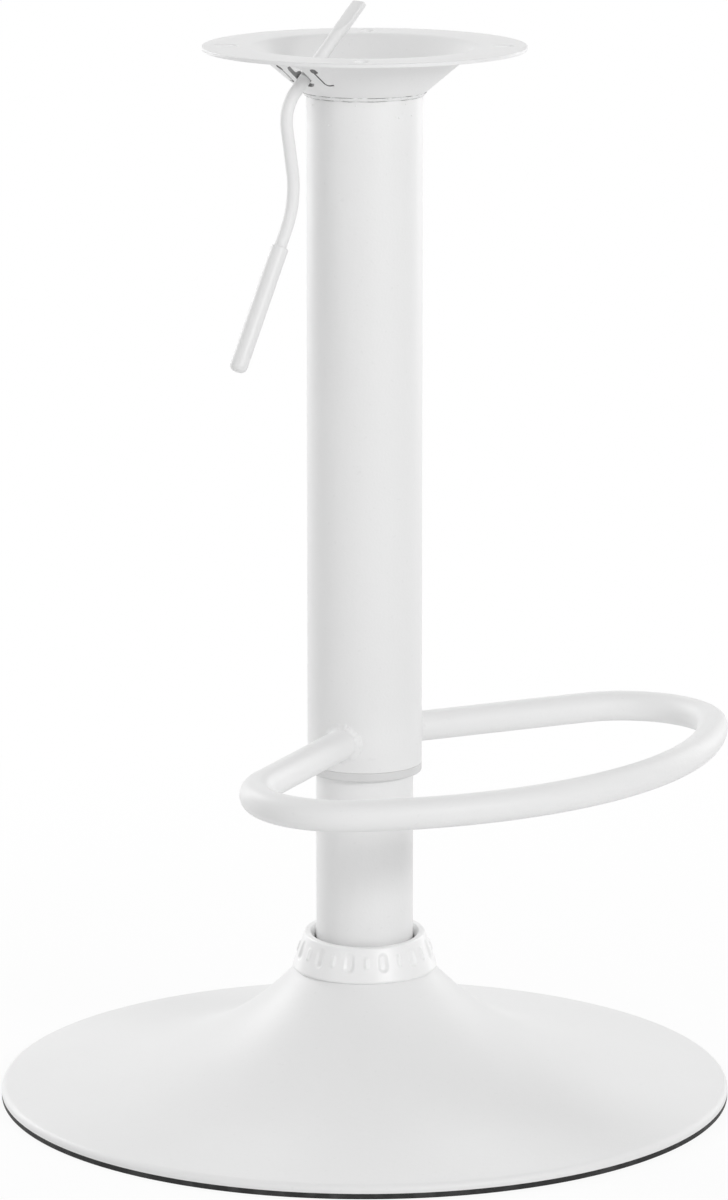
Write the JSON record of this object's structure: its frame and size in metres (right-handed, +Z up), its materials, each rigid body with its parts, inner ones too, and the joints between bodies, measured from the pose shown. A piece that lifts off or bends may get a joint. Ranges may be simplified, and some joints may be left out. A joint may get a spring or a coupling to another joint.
{
  "type": "bar stool base",
  "caption": "Height-adjustable pedestal base for a bar stool: trumpet foot, telescoping column on a gas spring, curved footrest, funnel seat plate and release lever.",
  "frame": {"origin": "floor level at the middle of the trumpet foot", "axes": "+Z up along the column; +X and +Y through the seat-screw slots; the footrest faces between +X and -Y, and the lever hangs between -X and -Y"},
  "size_m": [0.385, 0.385, 0.5794],
  "materials": {
    "white_coat": "satin white powder coat with a fine grain",
    "weld_coat": "white powder coat over a rough weld",
    "collar_plastic": "smooth white plastic",
    "grip_plastic": "smooth white plastic",
    "bush_plastic": "plain light grey plastic",
    "rubber": "matt black rubber",
    "cylinder_paint": "black paint",
    "bright_steel": "ground steel",
    "plain_steel": "plain machined steel",
    "alloy": "machined",
    "cage_plastic": "plain nylon"
  },
  "bodies": {
    "base": {"base_shell": "white_coat", "rim_ring": "rubber", "hub_socket": "white_coat", "brace_rib_1": "white_coat", "brace_rib_2": "white_coat", "brace_rib_3": "white_coat", "brace_rib_4": "white_coat", "collar_ring": "collar_plastic", "stand_tube": "white_coat", "end_plate": "plain_steel", "guide_bush": "bush_plastic", "thrust_race_lower": "bright_steel"},
    "rod": {"piston_rod": "bright_steel", "thrust_race_upper": "bright_steel", "rod_washer": "bright_steel", "rod_clip": "bright_steel", "bump_stop": "rubber", "piston": "alloy", "piston_seal": "rubber"},
    "bearing": {"thrust_cage": "cage_plastic", "thrust_balls": "bright_steel"},
    "column": {"upper_tube": "white_coat", "sleeve_bush": "bush_plastic", "seat_plate": "white_coat", "column_weld": "weld_coat", "taper_socket": "plain_steel", "gas_cylinder": "cylinder_paint", "rod_guide": "alloy", "rod_seal": "rubber", "valve_body": "alloy", "footrest": "white_coat", "footrest_weld_right": "weld_coat", "footrest_weld_left": "weld_coat"},
    "lever": {"lever_rod": "white_coat", "lever_pin": "bright_steel", "lever_grip": "grip_plastic"},
    "button": {"valve_button": "bright_steel"}
  },
  "joints": [
    {"name": "swivel", "type": "hinge", "parent": "base", "child": "rod", "pos_m": [0, 0, 0.02], "axis": [0, 0, 1], "continuous": true},
    {"name": "bearing_roll", "type": "hinge", "parent": "base", "child": "bearing", "pos_m": [0, 0, 0.018], "axis": [0, 0, 1], "continuous": true},
    {"name": "lift", "type": "slide", "parent": "rod", "child": "column", "axis": [0, 0, 1], "range_m": [0, 0.21]},
    {"name": "lever_pull", "type": "hinge", "parent": "column", "child": "lever", "pos_m": [-0.02913, -0.02913, 0.54301], "axis": [-0.7071, 0.7071, 0], "range_deg": [0, 40]},
    {"name": "button_press", "type": "slide", "parent": "column", "child": "button", "axis": [0, 0, -1], "range_m": [0, 0.003], "stiffness_N_per_m": 1000}
  ],
  "couplings": [
    {"joint": "bearing_roll", "follows": "swivel", "ratio": 0.5},
    {"joint": "button_press", "follows": "lever_pull", "m_per_rad": 0.004297}
  ]
}
